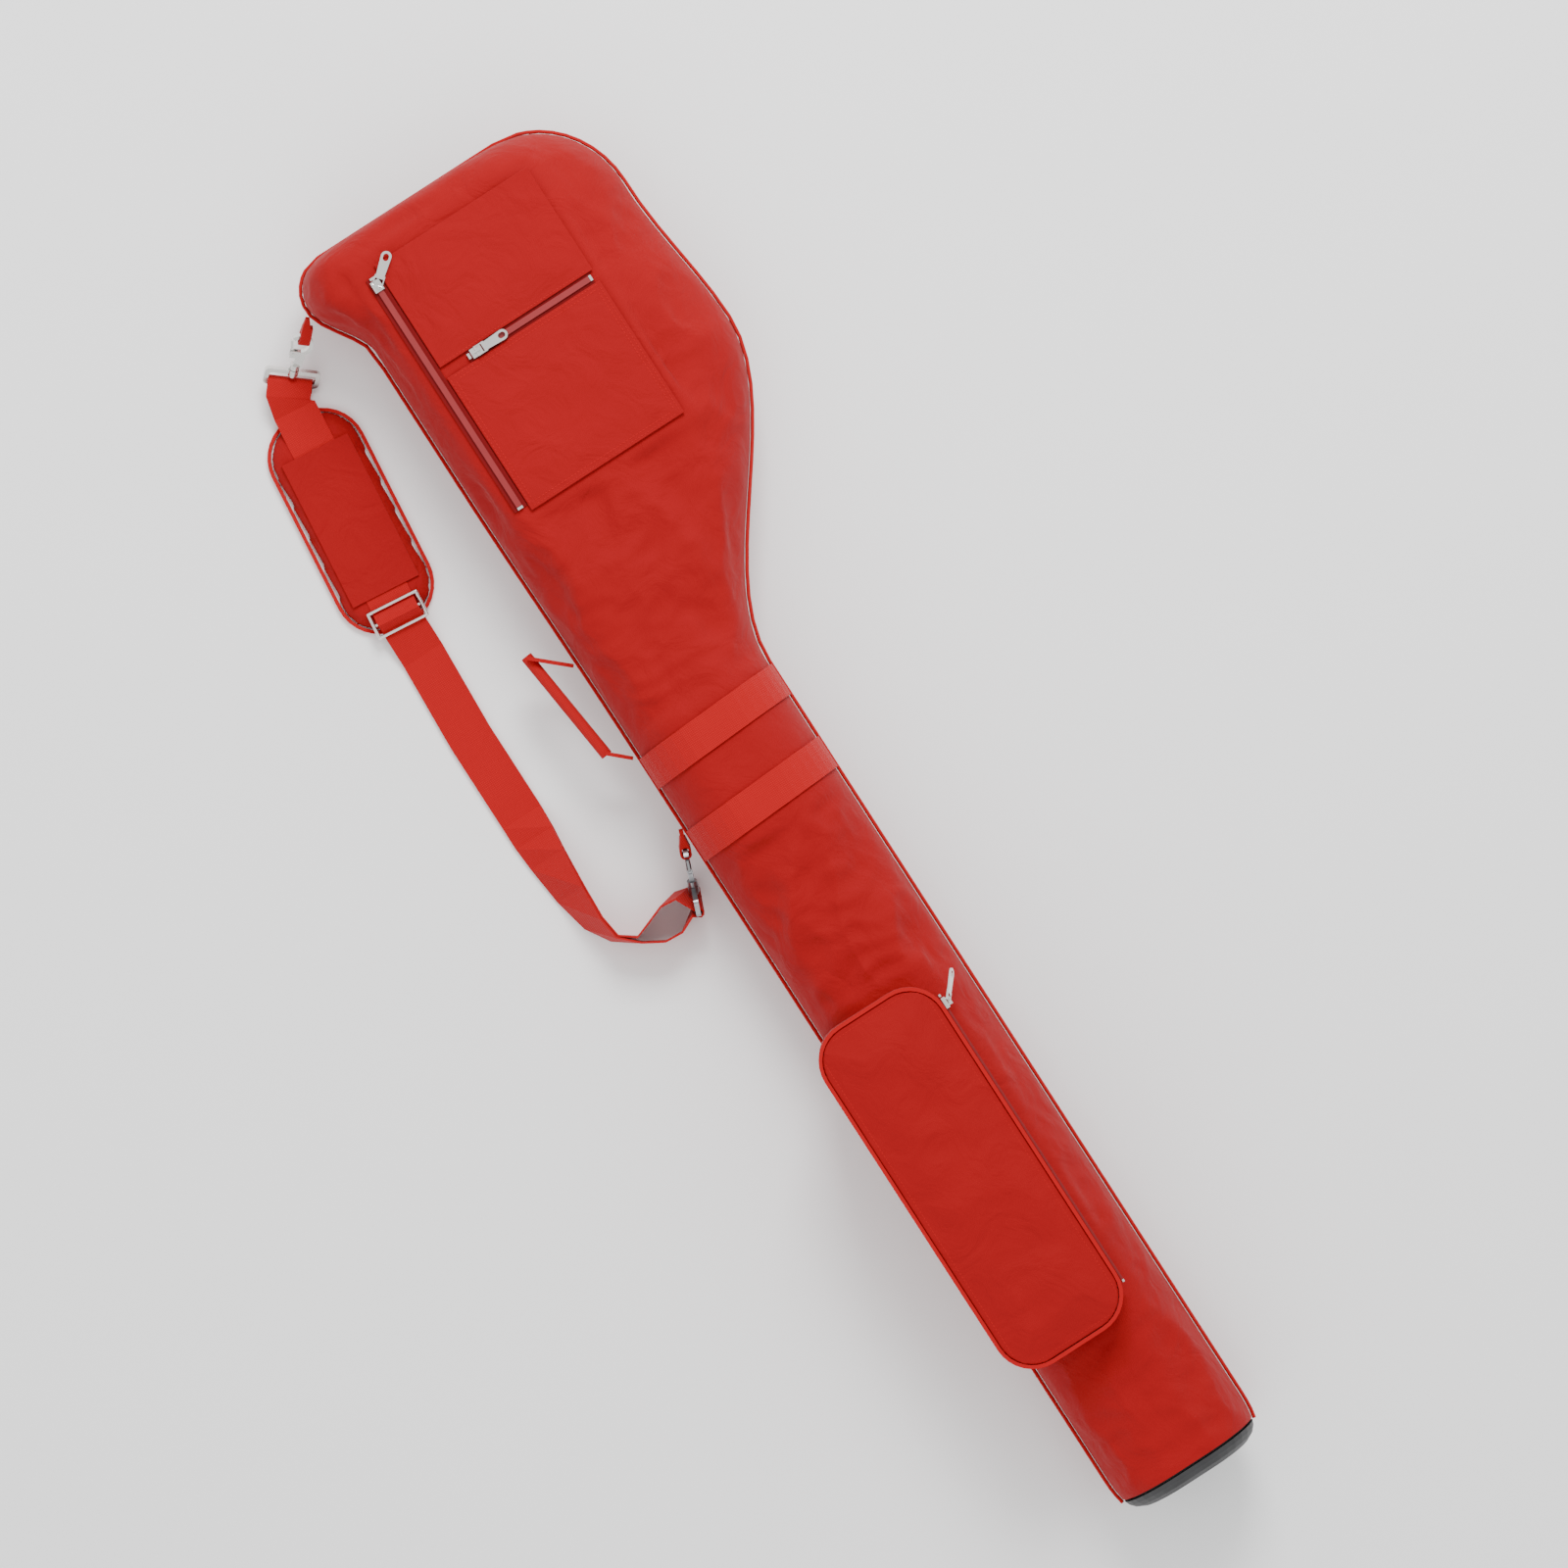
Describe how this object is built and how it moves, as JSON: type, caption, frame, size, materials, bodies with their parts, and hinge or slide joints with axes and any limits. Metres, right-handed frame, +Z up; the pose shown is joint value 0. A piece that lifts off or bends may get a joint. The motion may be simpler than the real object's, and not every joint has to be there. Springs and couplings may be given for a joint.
{
  "type": "golf club carry bag",
  "caption": "Slim soft carry bag for golf clubs with a wide zipped head, side accessory pocket, webbing handle and clip-on shoulder strap.",
  "frame": {"origin": "point on the ground under the tube's axis, at mid-length of the bag, on the flat of the back panel", "axes": "+X from the head to the base, +Y towards the head's bulge, +Z up through the front face of the lying bag"},
  "size_m": [1.2535, 0.4115, 0.148],
  "materials": {
    "fabric": "plain-weave red polyester",
    "piping": "red bias binding",
    "webbing": "red woven webbing",
    "base": "moulded matt black",
    "board": "board",
    "zip_tape": "woven zip tape",
    "zip_coil": "nylon coil",
    "nickel": "polished nickel",
    "dark_nickel": "dark nickel"
  },
  "bodies": {
    "bag": {"front_panel": "fabric", "back_panel": "fabric", "side_piping": "piping", "base_cap": "base", "base_board": "board", "upper_band": "webbing", "lower_band": "webbing", "head_pocket_top": "fabric", "head_pocket_bottom": "fabric", "main_zip_tape": "zip_tape", "main_zip_coil": "zip_coil", "main_zip_stops": "nickel", "head_pocket_zip_tape": "zip_tape", "head_pocket_zip_coil": "zip_coil", "head_pocket_zip_stops": "nickel", "accessory_pocket_gusset": "fabric", "accessory_pocket_front": "fabric", "accessory_pocket_piping": "piping", "accessory_zip_tape": "zip_tape", "accessory_zip_coil": "zip_coil", "accessory_zip_stops": "nickel"},
    "handle": {"carry_handle": "webbing"},
    "main_slider": {"main_zip_slider": "nickel"},
    "main_puller": {"main_zip_puller": "nickel"},
    "head_pocket_slider": {"head_pocket_zip_slider": "nickel"},
    "head_pocket_puller": {"head_pocket_zip_puller": "nickel"},
    "accessory_slider": {"accessory_zip_slider": "nickel"},
    "accessory_puller": {"accessory_zip_puller": "nickel"},
    "strap": {"upper_anchor_loop": "webbing", "upper_hook_eye": "nickel", "upper_hook_body": "nickel", "upper_gate_pin": "nickel", "lower_anchor_loop": "webbing", "lower_hook_eye": "dark_nickel", "lower_hook_body": "dark_nickel", "lower_gate_pin": "dark_nickel", "strap_webbing": "webbing", "slide_adjuster": "nickel", "adjuster_bar": "nickel"},
    "upper_gate": {"upper_hook_gate": "nickel"},
    "lower_gate": {"lower_hook_gate": "dark_nickel"},
    "pad": {"shoulder_pad": "fabric", "pad_binding": "piping", "pad_sleeve": "fabric"}
  },
  "joints": [
    {"name": "handle_swing", "type": "hinge", "parent": "bag", "child": "handle", "pos_m": [-0.178, -0.07225, 0.058], "axis": [-1, 0, 0], "range_deg": [-35, 35]},
    {"name": "main_zip_slide", "type": "slide", "parent": "bag", "child": "main_slider", "axis": [1, 0, 0], "range_m": [0, 0.21]},
    {"name": "main_puller_flip", "type": "hinge", "parent": "main_slider", "child": "main_puller", "pos_m": [-0.5745, -0.0373, 0.12185], "axis": [0.766, 0.6428, 0], "range_deg": [0, 110]},
    {"name": "head_pocket_zip_slide", "type": "slide", "parent": "bag", "child": "head_pocket_slider", "axis": [0, 1, 0], "range_m": [0, 0.104]},
    {"name": "head_pocket_puller_flip", "type": "hinge", "parent": "head_pocket_slider", "child": "head_pocket_puller", "pos_m": [-0.48452, 0.0025, 0.12185], "axis": [1, 0, 0], "range_deg": [0, 110]},
    {"name": "accessory_zip_slide", "type": "slide", "parent": "bag", "child": "accessory_slider", "axis": [1, 0, 0], "range_m": [0, 0.264]},
    {"name": "accessory_puller_flip", "type": "hinge", "parent": "accessory_slider", "child": "accessory_puller", "pos_m": [0.1785, 0.0391, 0.1328], "axis": [0.5736, 0, -0.8192], "range_deg": [-20, 75]},
    {"name": "strap_swing", "type": "hinge", "parent": "bag", "child": "strap", "pos_m": [-0.06, -0.0713, 0.058], "axis": [-0.9984, -0.0571, 0], "range_deg": [0, 90]},
    {"name": "upper_gate_push", "type": "hinge", "parent": "strap", "child": "upper_gate", "pos_m": [-0.57353, -0.12808, 0.03355], "axis": [-0.6491, 0.2752, -0.7092], "range_deg": [0, 15], "stiffness_Nm_per_rad": 0.02, "springref_deg": -8.59},
    {"name": "lower_gate_push", "type": "hinge", "parent": "strap", "child": "lower_gate", "pos_m": [-0.02668, -0.08409, 0.04168], "axis": [-0.3584, -0.9336, 0], "range_deg": [0, 15], "stiffness_Nm_per_rad": 0.02, "springref_deg": -8.59},
    {"name": "pad_slide", "type": "slide", "parent": "strap", "child": "pad", "axis": [-0.9945, 0.1045, 0], "range_m": [0, 0.012]}
  ]
}
